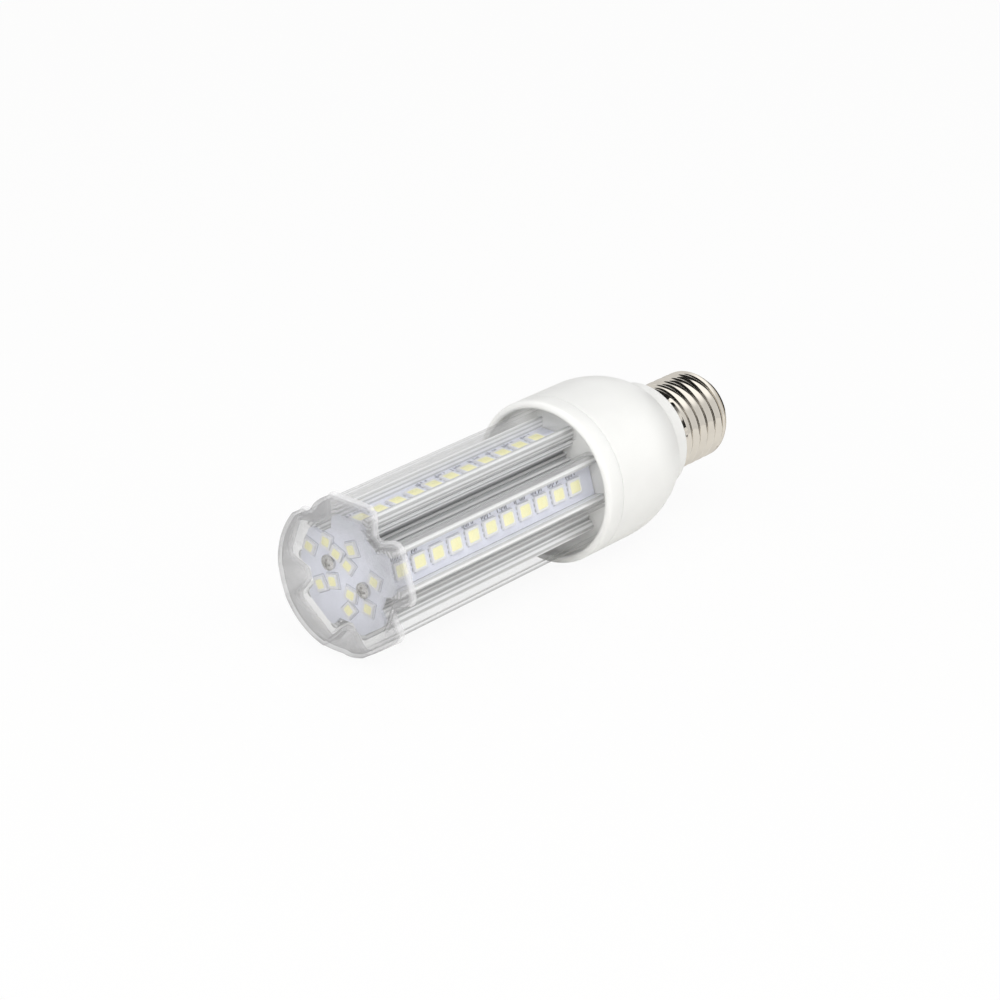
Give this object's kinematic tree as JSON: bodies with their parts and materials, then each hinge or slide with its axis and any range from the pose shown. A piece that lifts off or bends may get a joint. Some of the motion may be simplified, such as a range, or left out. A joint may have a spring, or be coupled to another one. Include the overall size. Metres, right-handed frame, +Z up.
{
  "type": "led corn lamp",
  "caption": "LED corn lamp: finned aluminium core with lobes of small LEDs under clear covers, clear end cap, white domed driver housing and an E27 screw base; lies on its side.",
  "frame": {"origin": "on the lamp's axis, in the plane where the screw shell meets the collar of the housing", "axes": "+X along the lamp's axis towards the screw base's tip; +Z up through one lobe as the lamp lies"},
  "size_m": [0.162, 0.047, 0.047],
  "materials": {
    "nickel_plate": "bright nickel plate",
    "white_housing": "glossy moulded white",
    "aluminium_core": "satin extruded",
    "white_board": "white solder mask",
    "led_package": "white moulded",
    "phosphor": "pale yellow silicone",
    "clear_cover": "clear extruded",
    "clear_cap": "clear moulded",
    "bright_screw": "plated",
    "base_moulding": "black moulded",
    "driver_laminate": "green laminate",
    "ferrite": "dark sintered",
    "copper_winding": "enamelled wire under tape",
    "capacitor_sleeve": "shrink sleeve",
    "film_capacitor_case": "moulded box",
    "rectifier_case": "moulded",
    "fuse_body": "ceramic coat",
    "lead_insulation": "wire insulation"
  },
  "bodies": {
    "root": {"screw_shell": "nickel_plate", "centre_contact": "nickel_plate", "rear_housing": "white_housing", "front_ring": "white_housing", "heat_sink": "aluminium_core", "end_board": "white_board", "strip_board_1": "white_board", "strip_board_2": "white_board", "strip_board_3": "white_board", "strip_board_4": "white_board", "strip_board_5": "white_board", "end_leds": "led_package", "strip_leds_1": "led_package", "strip_leds_2": "led_package", "strip_leds_3": "led_package", "strip_leds_4": "led_package", "strip_leds_5": "led_package", "end_phosphor": "phosphor", "strip_phosphor_1": "phosphor", "strip_phosphor_2": "phosphor", "strip_phosphor_3": "phosphor", "strip_phosphor_4": "phosphor", "strip_phosphor_5": "phosphor", "strip_cover_1": "clear_cover", "strip_cover_2": "clear_cover", "strip_cover_3": "clear_cover", "strip_cover_4": "clear_cover", "strip_cover_5": "clear_cover", "end_cap": "clear_cap", "end_screws": "bright_screw", "ring_screws": "bright_screw", "base_insulator": "base_moulding", "driver_board": "driver_laminate", "transformer_core": "ferrite", "transformer_winding": "copper_winding", "bulk_capacitor": "capacitor_sleeve", "film_capacitor": "film_capacitor_case", "bridge_rectifier": "rectifier_case", "fuse": "fuse_body", "contact_lead": "lead_insulation", "shell_lead": "lead_insulation", "led_leads": "lead_insulation"}
  },
  "joints": []
}
